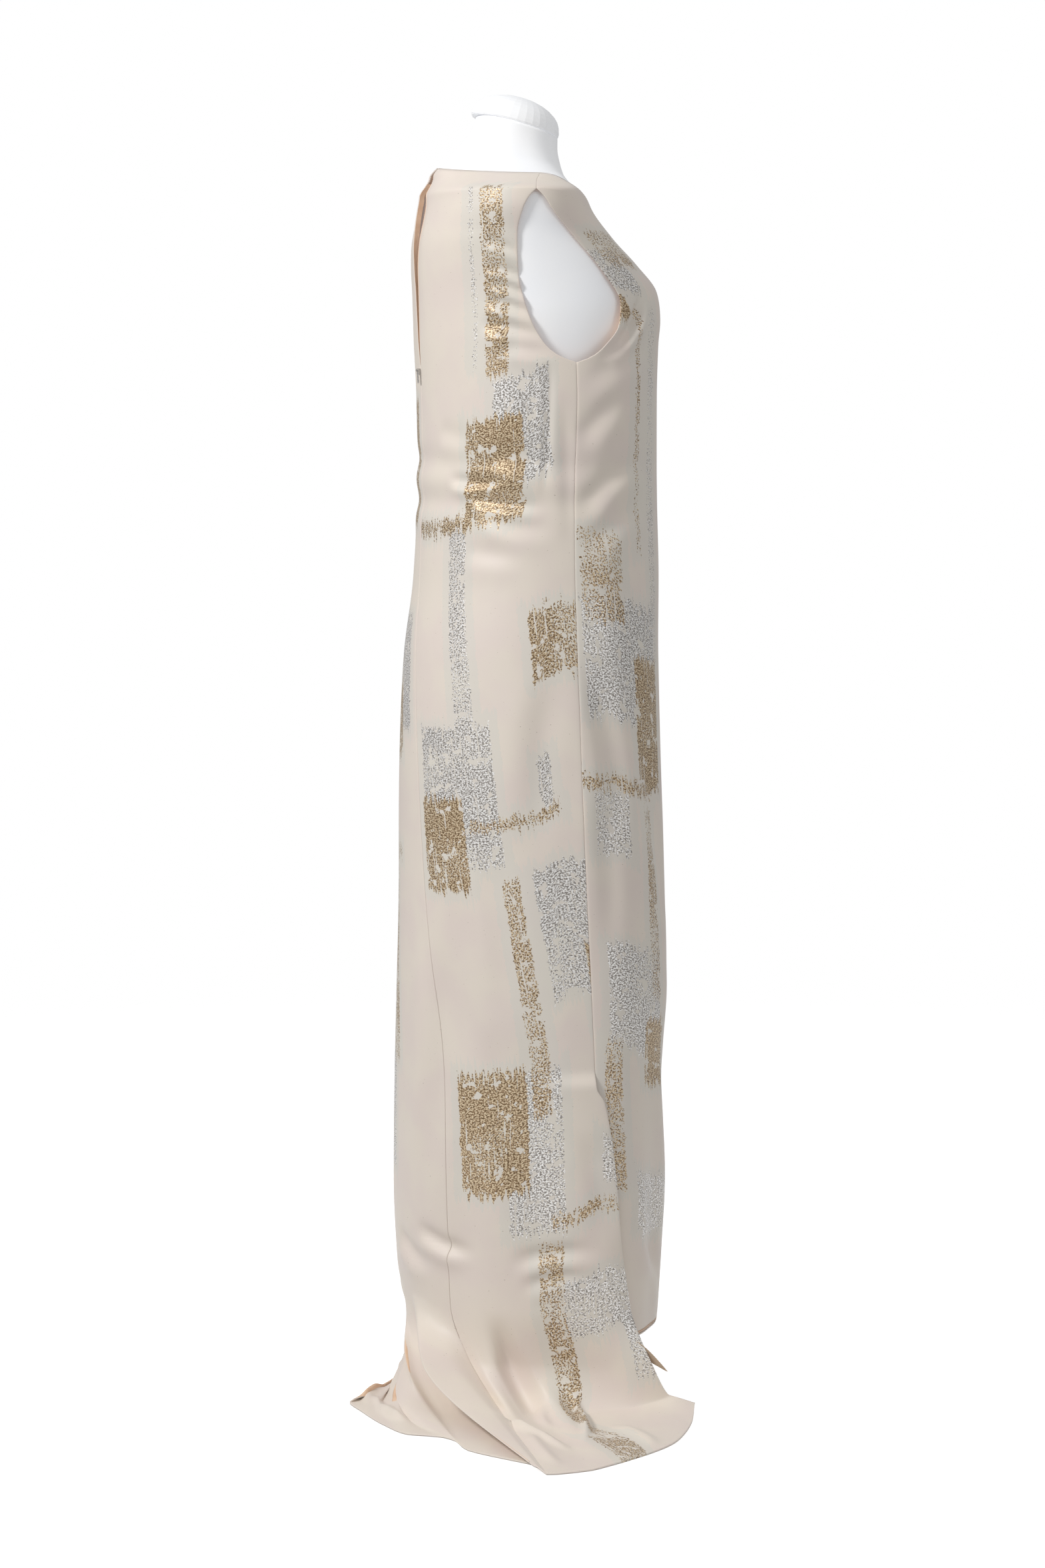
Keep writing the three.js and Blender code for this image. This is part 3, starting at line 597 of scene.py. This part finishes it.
# How each half falls from the skirt to its hem: three places in mm that a thread of the cloth
# passes, at a share of the way from the centre back seam to the side slit.
RIGHT_TRAIN = table(
    "share fall_x fall_y fall_z land_x land_y land_z hem_x hem_y hem_z",
    (0, -135, 108, 62, -205, 84, 14, -424, 81, 2.6),
    (0.08, -149, 96, 60, -228, 74, 15, -425, 70, 2.4),
    (0.17, -157, 82, 58, -226, 60, 9, -423, 52, 2.2),
    (0.27, -146, 62, 56, -192, 42, 5, -419, 30, 2.2),
    (0.36, -168, 40, 58, -206, 18, 17, -406, 4, 2.2),
    (0.50, -176, 10, 56, -214, -10, 6, -386, -28, 2.2),
    (0.62, -186, -18, 56, -212, -34, 8, -368, -54, 2.2),
    (0.76, -196, -48, 58, -212, -64, 9, -338, -88, 2.6),
    (0.9, -204, -78, 60, -208, -98, 14, -276, -126, 6),
    (1, -208, -97, 60, -206, -119, 21, -224, -145, 15),
)
LEFT_TRAIN = table(
    "share fall_x fall_y fall_z land_x land_y land_z hem_x hem_y hem_z",
    (0, -135, 108, 62, -205, 84, 14, -424, 81, 2.6),
    (0.07, -146, 134, 64, -226, 106, 27, -413, 89, 7.5),
    (0.14, -150, 167, 64, -234, 136, 25, -396, 95, 8),
    (0.19, -98, 138, 50, -196, 108, 8, -386, 87, 2.4),
    (0.25, -86, 160, 44, -176, 148, 6, -306, 148, 2.2),
    (0.30, -72, 175, 52, -160, 166, 16, -270, 154, 2.2),
    (0.35, -56, 160, 54, -146, 184, 14, -254, 163, 2.2),
    (0.41, -32, 163, 56, -128, 196, 5, -246, 174, 2.2),
    (0.47, -8, 151, 58, -100, 186, 15, -230, 202, 2.2),
    (0.53, 14, 147, 60, -74, 196, 5, -182, 221, 2.2),
    (0.58, 34, 142, 60, -45, 180, 13, -126, 236, 4),
    (0.62, 47, 139, 60, -22, 180, 5, -101, 243, 6),
    (0.65, 57, 136, 60, -6, 170, 7, -94, 231, 9),
    (0.70, 74, 130, 60, 18, 160, 5, -60, 204, 4),
    (0.76, 97, 121, 60, 46, 150, 4, -4, 170, 2.2),
    (0.84, 131, 104, 60, 97, 138, 4, 88, 146, 2.2),
    (0.91, 160, 66, 60, 150, 96, 4, 151, 106, 2.2),
    (0.96, 181, 18, 60, 187, 34, 4, 198, 36, 2.2),
    (1, 193, -47, 60, 203, -57, 4, 214, -66, 2.2),
)
# Soft ridges in the cloth that lies on the floor.
RIDGES = table(
    "x y to_x to_y bow wide high",
    (-146, -5, -330, 16, -12, 5, 11),
    (-176, 24, -262, 34, 8, 6, 5),
    (-232, 100, -350, 32, -8, 6, 8),
    (-262, -36, -356, -64, -8, 9, 5),
    (-280, 64, -410, 58, 6, 8, 4),
    (-120, 205, -196, 192, 5, 6, 7),
    (-84, 212, -160, 218, -5, 5, 5),
    (-40, 190, -110, 226, 6, 5, 6),
    (24, 168, 60, 148, 4, 6, 4),
)
BACK_OPENING = table(
    "z half",
    (1222, 0.2),
    (1290, 1.8),
    (1350, 3.4),
    (1405, 4.6),
    (1436, 2.6),
    (1460, 0.8),
)
# How far the slit's edges stand out from the back, in mm: the right one is the wearer's right.
SLIT_EDGES = table(
    "z right left",
    (1222, 0, 0),
    (1270, -0.6, 1.0),
    (1330, -1.2, 1.8),
    (1370, -1.8, 3.4),
    (1405, -2.0, 6.0),
    (1430, -1.0, 4.4),
    (1460, 0, 0.6),
)
SLIT_EDGE_REACH = 0.16
ZIP_TOP = 1222
# Below the slit's top the back's side edges stand out from the front's, full after this drop.
SLIT_STAND_OFF, STAND_DROP = 6.5, 19
FALL_START = 120
BACK_COLUMNS, TRAIN_ROWS = 100, 96
# The left half is drawn in under the skirt's back, most at this height, and eased in over a drop.
PINCH_HEIGHT, PINCH_TALL, PINCH_IN, PINCH_DROP = 84, 30, 17, 20
backing = curve(BACK_OPENING, "z", "half")


def centre_edge(z, side):
    half = np.where(z > ZIP_TOP, backing(z), SEAM_HALF_GAP)
    return 180 - seam_at(z) - side * np.degrees(half / back_at(z))


def ridge_height(place):
    """How far the ridges lift the cloth at places on the floor."""
    lifted = np.zeros(len(place))
    for x, y, to_x, to_y, bow, wide, high in zip(*RIDGES.values()):
        along = np.array([to_x - x, to_y - y])
        length = np.hypot(*along)
        along /= length
        dx, dy = place[:, 0] - x, place[:, 1] - y
        t = (dx * along[0] + dy * along[1]) / length
        inside = np.clip(t, 0, 1)
        away = dx * along[1] - dy * along[0] - bow * 4 * inside * (1 - inside)
        lifted += high * ease(t, -0.05, 0.3) * (1 - ease(t, 0.6, 1)) * hill(away / wide)
    return lifted


def back_points(train, side):
    """Rows of outer points of one half: side is 1 for the wearer's right and -1 for the left."""
    rows = []
    for rise in yoke_rises[::-1]:
        rows.append(lambda share, rise=rise: YOKE_LEVEL + (neckline(180 - 90 * share) - YOKE_LEVEL) * rise)
    for level in [*fine_levels[fine_levels > FALL_START + 3], FALL_START]:
        rows.append(lambda share, level=level: level + 0 * share)

    def turns_at(z, share):
        edge = panel_edge(z, "back")
        edge = edge if side > 0 else 360 - edge
        centre = centre_edge(z, side)
        return centre + (edge - centre) * share

    grid = []
    for height in rows:
        share = np.linspace(0, 1, MEASURED_PLACES)
        z = height(share)
        line = section_points(z, turns_at(z, share), 0)
        length = np.concatenate([[0], np.cumsum(np.linalg.norm(np.diff(line, axis=0), axis=1))])
        share = np.interp(lipped(BACK_COLUMNS, length[-1]), length, share)
        z = height(share)
        stand = SLIT_STAND_OFF * (1 - ease(z, SLIT_TOP - STAND_DROP, SLIT_TOP)) * ease(share, 0.5, 0.95)
        edge = curve(SLIT_EDGES, "z", "right" if side > 0 else "left")(z)
        stand = stand + edge * (1 - ease(share, 0, SLIT_EDGE_REACH)) * (z > ZIP_TOP)
        grid.append(dress_points(z, turns_at(z, share), stand - lip_fall(BACK_COLUMNS)))
    start, before = grid[-1], grid[-6]
    stations = []
    for name in ("fall", "land", "hem"):
        places = np.stack([train[f"{name}_{axis}"] for axis in "xyz"], -1)
        stations.append(through(train["share"], places, share))
    passed = np.stack([before, start, *stations])
    gaps = np.mean(np.linalg.norm(np.diff(passed, axis=0), axis=2), axis=1)
    marks = np.concatenate([[-gaps[0], 0], np.cumsum(gaps[1:])])
    marks /= marks[-1]
    for step in np.linspace(0, 1, TRAIN_ROWS + 1)[1:]:
        run = through(marks, passed, step)
        if side < 0:
            behind = ease(share, 0.2, 0.4) * (1 - ease(share, 0.8, 0.95))
            behind = behind * ease(FALL_START - run[:, 2], 0, PINCH_DROP)
            run[:, 1] -= PINCH_IN * hill((run[:, 2] - PINCH_HEIGHT) / PINCH_TALL) * behind
        run[:, 2] += ridge_height(run) * ease(step, 0.3, 0.5) * (1 - ease(step, 0.93, 1))
        grid.append(run)
    return np.array(grid)


RIGHT_PATCHES = table(
    "across height wide tall gold fill",
    (150, 1316, 15, 118, 1, 0.62),
    (122, 1322, 4, 108, 0, 0.45),
    (178, 1130, 34, 62, 0, 0.85),
    (142, 1088, 38, 62, 1, 0.95),
    (70, 1032, 84, 9, 1, 0.6),
    (92, 890, 14, 140, 0, 0.55),
    (214, 872, 30, 42, 1, 0.7),
    (70, 712, 56, 84, 0, 0.8),
    (44, 660, 34, 56, 1, 0.95),
    (142, 676, 58, 7, 1, 0.6),
    (186, 716, 8, 30, 0, 0.7),
    (206, 538, 50, 78, 0, 0.75),
    (228, 470, 26, 48, 1, 0.9),
    (128, 470, 12, 140, 1, 0.55),
    (66, 318, 44, 72, 1, 0.92),
    (118, 290, 34, 96, 0, 0.7),
    (206, 262, 9, 32, 0, 0.65),
    (196, 206, 62, 7, 1, 0.55),
    (186, 96, 64, 34, 0, 0.75),
    (132, 30, 15, 150, 1, 0.6),
    (252, 36, 40, 44, 0, 0.7),
    (120, -190, 22, 60, 1, 0.55),
)
LEFT_PATCHES = table(
    "across height wide tall gold fill",
    (96, 1300, 15, 130, 0, 0.55),
    (70, 1110, 52, 74, 1, 0.9),
    (128, 1060, 40, 60, 0, 0.8),
    (190, 980, 12, 160, 1, 0.55),
    (60, 860, 40, 70, 0, 0.8),
    (92, 800, 34, 46, 1, 0.9),
    (180, 690, 52, 84, 0, 0.7),
    (130, 640, 60, 8, 1, 0.6),
    (110, 520, 13, 130, 1, 0.55),
    (214, 470, 46, 62, 1, 0.85),
    (170, 330, 54, 70, 0, 0.7),
    (280, 270, 22, 90, 1, 0.6),
    (262, 30, 20, 60, 0, 0.8),
    (330, 60, 36, 50, 1, 0.6),
)
BACK_HALVES = (
    ("right", RIGHT_TRAIN, 1, RIGHT_PATCHES, (0.36, 1.8), 0.42),
    ("left", LEFT_TRAIN, -1, LEFT_PATCHES, (0.5, 1.75), 0.52),
)
for hand, train, side, patches, flat, area in BACK_HALVES:
    points = back_points(train, side)
    if side > 0:
        points = points[:, ::-1]
    seam_column = points.shape[1] - 1 if side > 0 else 0
    half = cloth_panel(f"back_{hand}_panel", points, YOKE_LEVEL, seam_column)
    if side > 0:
        uv = half.data.uv_layers["weave"].data
        flipped = np.empty(len(uv) * 2, np.float32)
        uv.foreach_get("uv", flipped)
        flipped[0::2] *= -1
        uv.foreach_set("uv", flipped)
    half.data.materials.append(woven_silk(f"silk_back_{hand}", patches))
    line_panel(half)
    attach(half, "dress")
    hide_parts(f"dress_back_{hand}")

# The dress form
# A limbless shell covered in plain white, with a domed cap on its slanted neck.

FORM_SECTIONS = table(
    "z half front back mid tilt",
    (745, 138, 88, 108, -6, 0),
    (762, 150, 98, 118, -6, 0),
    (880, 164, 106, 130, -6, 0),
    (980, 146, 98, 104, -4, 0),
    (1075, 124, 94, 92, -2, 0),
    (1186, 138, 112, 112, -4, 0),
    (1240, 147, 126, 124, -6, 0),
    (1295, 152, 139, 128, -3, 0),
    (1343, 152, 129, 120, 12, 0),
    (1374, 152.5, 111, 106, 25, 0),
    (1400, 155, 95, 98, 30, 0),
    (1417, 155.5, 85, 94, 31, 0),
    (1424.5, 148, 80, 93, 30, 0),
    (1431.5, 131, 71, 94, 26, 0),
    (1442.5, 100, 54, 97, 17, 0),
    (1452, 76, 52, 90, 17, 2),
    (1466, 60, 51, 77, 18, 6),
    (1486, 54, 50, 54, 20, 11),
    (1506, 52, 51, 44, 21, 16),
)
FORM_COLUMNS = 128
FORM_FOOT, FORM_NECK, FORM_STEP, SHOULDER_LEVEL, SHOULDER_STEP = 745, 1506, 8, 1410, 3


def form_points(z, turn):
    angle = np.radians(turn)
    half, front, back, mid, tilt = (curve(FORM_SECTIONS, "z", name)(z) for name in list(FORM_SECTIONS)[1:])
    depth = np.where(np.cos(angle) > 0, front, back)
    across = np.abs(np.sin(angle) / half) ** SECTION_POWER
    along = np.abs(np.cos(angle) / depth) ** SECTION_POWER
    reach = (across + along) ** (-1 / SECTION_POWER)
    y = mid - reach * np.cos(angle)
    return np.stack([-reach * np.sin(angle), y, z + (y - mid) * np.tan(np.radians(tilt))], -1)


def ring_body(name, rings):
    """A closed smooth body from rings of points in mm, the lowest ring first."""
    count, columns = rings.shape[:2]
    index = np.arange(count * columns).reshape(count, columns)
    beside = np.roll(index, -1, axis=1)
    quads = np.stack([index[:-1], index[1:], beside[1:], beside[:-1]], -1).reshape(-1, 4).tolist()
    mesh = bpy.data.meshes.new(name)
    faces = quads + [index[0].tolist(), index[-1][::-1].tolist()]
    mesh.from_pydata((rings.reshape(-1, 3) * MM).tolist(), [], faces)
    mesh.shade_smooth()
    body = bpy.data.objects.new(name, mesh)
    bpy.context.scene.collection.objects.link(body)
    return body


body_levels = np.arange(FORM_FOOT, SHOULDER_LEVEL, FORM_STEP)
neck_levels = np.arange(SHOULDER_LEVEL, FORM_NECK + 1, SHOULDER_STEP)
levels = np.concatenate([body_levels, neck_levels, [FORM_NECK]])
form_turns = np.arange(FORM_COLUMNS) * 360 / FORM_COLUMNS
torso = ring_body("form_body", form_points(levels[:, None], form_turns[None, :]))


def white_cover():
    # The cover's faint bluish glow is painted light: it keeps the white near full brightness where it lies
    # in shade, on the torso, neck cap and base alike.
    painted_glow = {"Emission Color": (0.9, 0.93, 1, 1), "Emission Strength": 0.11}
    material, shader, start = finish_of("white_cover", {"Roughness": 0.7, "Sheen Weight": 0.1, **painted_glow})
    place = start.node("NewGeometry")
    soft = place.noise(14, 3, 6)
    grain = place.noise(900, 2, 7)
    bump = start.node("Bump", {}, {"Height": grain, "Strength": 0.1, "Distance": 0.0005})
    white = soft.rise(0.3, 0.7).blend((0.90, 0.91, 0.93, 1), (0.93, 0.93, 0.93, 1))
    feed(shader, {"Base Color": white, "Normal": bump})
    return material


cover = white_cover()
torso.data.materials.append(cover)
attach(torso, "dress")
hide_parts("form_torso")
for node in ("form_neck_cap", "form_base"):
    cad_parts[node].data.materials.clear()
    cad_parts[node].data.materials.append(cover)

# The metal parts
# Nickel-plated slider and pull tab, wire hook and eye, and the form's steel pole.


def nickel():
    material, shader, start = finish_of("nickel", {"Metallic": 1.0})
    place = start.node("NewGeometry")
    worn = place.noise(400, 3, 8)
    shade = worn.blend((0.42, 0.41, 0.40, 1), (0.75, 0.73, 0.71, 1))
    feed(shader, {"Base Color": shade, "Roughness": worn.rise(0.3, 0.7, 0.25, 0.5)})
    return material


plated = nickel()
for node in ("zip_slider", "zip_pull_tab", "neck_eye", "neck_hook", "form_pole"):
    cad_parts[node].data.materials.clear()
    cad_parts[node].data.materials.append(plated)

# The facings that show
# Strips of peach lining turned back inside both edges of the open back slit, and the loose pointed
# end of the facing of the right side slit.

FACING_LEVELS = np.linspace(1438, 1226, 74)
# A strip starts this far inside the slit's edge and runs this deep, both in mm. Its edge pokes out
# over the gap, and its back lies a little under the panel. No part lies below the last depth.
FACING_START, FACING_DEPTHS, FACING_FLOOR = 0.3, {1: 4.7, -1: 6.7}, -3.1
FACING_POKE, FACING_SWELL, FACING_UNDER = 1.1, 1.2, 3
SWELL_LEVEL, SWELL_TALL = 1372, 90


def slit_facing(name, node, side):
    """A strip that runs inward from just inside one edge of the slit."""
    edge = curve(SLIT_EDGES, "z", "right" if side > 0 else "left")(FACING_LEVELS)
    swell = FACING_SWELL * hill((FACING_LEVELS - SWELL_LEVEL) / SWELL_TALL)
    proud = np.minimum(FACING_POKE + swell, backing(FACING_LEVELS) * 1.5)
    columns = []
    for into in np.linspace(0, 1, 7):
        shift = (proud * (1 - into) - FACING_UNDER * into) * side
        turns = centre_edge(FACING_LEVELS, side) + np.degrees(shift / back_at(FACING_LEVELS))
        out = np.maximum(edge - FACING_START - FACING_DEPTHS[side] * into, FACING_FLOOR)
        columns.append(dress_points(FACING_LEVELS, turns, out))
    if side > 0:
        columns = columns[::-1]
    points = np.stack(columns, 1)
    strip = cloth_panel(name, points, YOKE_LEVEL)
    strip.data.materials.append(lining)
    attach(strip, "dress")
    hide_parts(node)


slit_facing("slit_facing_right", "back_slit_facing_right", 1)
slit_facing("slit_facing_left", "back_slit_facing_left", -1)

# The loose end in mm: its root under the back panel's edge and its free edge, down its length.
TONGUE_ROWS, TONGUE_COLUMNS = 25, 9
TONGUE = table(
    "down root_x root_y root_z tip_x tip_y tip_z",
    (0, -196, -68, 92, -197, -72, 92),
    (0.3, -198, -76, 80, -203, -90, 79),
    (0.7, -201, -92, 64, -206, -107, 61),
    (1, -205, -114, 50, -206, -117, 49),
)
down = np.linspace(0, 1, TONGUE_ROWS)
roots = through(TONGUE["down"], np.stack([TONGUE[f"root_{axis}"] for axis in "xyz"], -1), down)
tips = through(TONGUE["down"], np.stack([TONGUE[f"tip_{axis}"] for axis in "xyz"], -1), down)
across = np.linspace(0, 1, TONGUE_COLUMNS)[None, :, None]
tongue = cloth_panel("facing_end", roots[:, None] + (tips - roots)[:, None] * across, YOKE_LEVEL)
# The loose end's fawn lining is painted shade, a darker copy of the peach lining.
tongue.data.materials.append(painted_shade_lining)
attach(tongue, "dress")
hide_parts("side_slit_facing")

# The studio
# A pale floor that runs into a pale room, soft light from all sides, and the camera's place: level
# with the waist, a little behind the wearer's right side.

FLOOR_REACH, FLOOR_FADE, FLOOR_CORNERS = 3.2, 1.1, 90
floor_mesh = bpy.data.meshes.new("floor")
corner_turns = [2 * math.pi * step / FLOOR_CORNERS for step in range(FLOOR_CORNERS)]
rim = [(FLOOR_REACH * math.cos(turn), FLOOR_REACH * math.sin(turn), 0) for turn in corner_turns]
floor_mesh.from_pydata(rim, [], [tuple(range(FLOOR_CORNERS))])
floor = bpy.data.objects.new("floor", floor_mesh)
bpy.context.scene.collection.objects.link(floor)
FLOOR_GLOW = 0.8
white, paper = (1, 1, 1, 1), (0.55, 0.55, 0.55, 1)
constants = {"Roughness": 0.9, "Base Color": paper, "Emission Color": white, "Emission Strength": FLOOR_GLOW}
pale, pale_shader, start = finish_of("pale_floor", constants)
away = start.node("VectorMath", {"operation": "LENGTH"}, {0: start.node("NewGeometry")}, "Value")
feed(pale_shader, {"Alpha": away.rise(FLOOR_FADE, FLOOR_REACH - 0.1, 1, 0)})
floor_mesh.materials.append(pale)
floor.visible_diffuse = False

world = bpy.data.worlds.new("room")
world.use_nodes = True
sky = Thread(world.node_tree)
seen = sky.node("LightPath", out="Is Camera Ray")
upward = sky.node("SeparateXYZ", {}, {0: sky.node("TexCoord", out="Generated")}, 2)
room_light = upward.rise(-0.5, 0.9, 0.31, 0.55)
background = world.node_tree.nodes["Background"]
background.inputs["Color"].default_value = (1.0, 1.0, 1.0, 1)
strength = seen * 1.0 + (1.0 - seen) * room_light
world.node_tree.links.new(strength.socket, background.inputs["Strength"])
bpy.context.scene.world = world

CAMERA_BEHIND = math.radians(13)
CAMERA_DISTANCE, CAMERA_HEIGHT, CAMERA_ASIDE = 4.2, 1.118, -0.0104
CAMERA_PITCH = math.radians(5.34)
# The photo's focal length and height in its own pixels, and the sensor's height in mm.
FOCAL_PIXELS, PHOTO_PIXELS, SENSOR = 5250, 2352, 36
LIGHT_AIM = 0.8
towards = np.array([-math.cos(CAMERA_BEHIND), math.sin(CAMERA_BEHIND)])
rightwards = np.array([-math.sin(CAMERA_BEHIND), -math.cos(CAMERA_BEHIND)])


def soft_box(name, ahead, aside, height, size, power):
    """A square soft light that faces the dress, placed as seen from the camera."""
    light = bpy.data.lights.new(name, "AREA")
    light.size, light.energy = size, power
    box = bpy.data.objects.new(name, light)
    place = towards * ahead + rightwards * aside
    box.location = (*place, height)
    facing = (-place[0], -place[1], LIGHT_AIM - height)
    box.rotation_euler = Vector(facing).to_track_quat("-Z", "Y").to_euler()
    bpy.context.scene.collection.objects.link(box)


soft_box("key", 2.0, -2.6, 3.1, 0.8, 94)
soft_box("fill", 2.6, 3.0, 1.6, 1.6, 16)

lens = bpy.data.cameras.new("camera")
lens.sensor_width = SENSOR
lens.lens = FOCAL_PIXELS * SENSOR / PHOTO_PIXELS
camera = bpy.data.objects.new("camera", lens)
camera.location = (*(towards * CAMERA_DISTANCE + rightwards * CAMERA_ASIDE), CAMERA_HEIGHT)
camera.rotation_euler = (math.pi / 2 - CAMERA_PITCH, 0, -math.pi / 2 - CAMERA_BEHIND)
bpy.context.scene.collection.objects.link(camera)
bpy.context.scene.camera = camera
bpy.context.scene.view_settings.view_transform = "Standard"
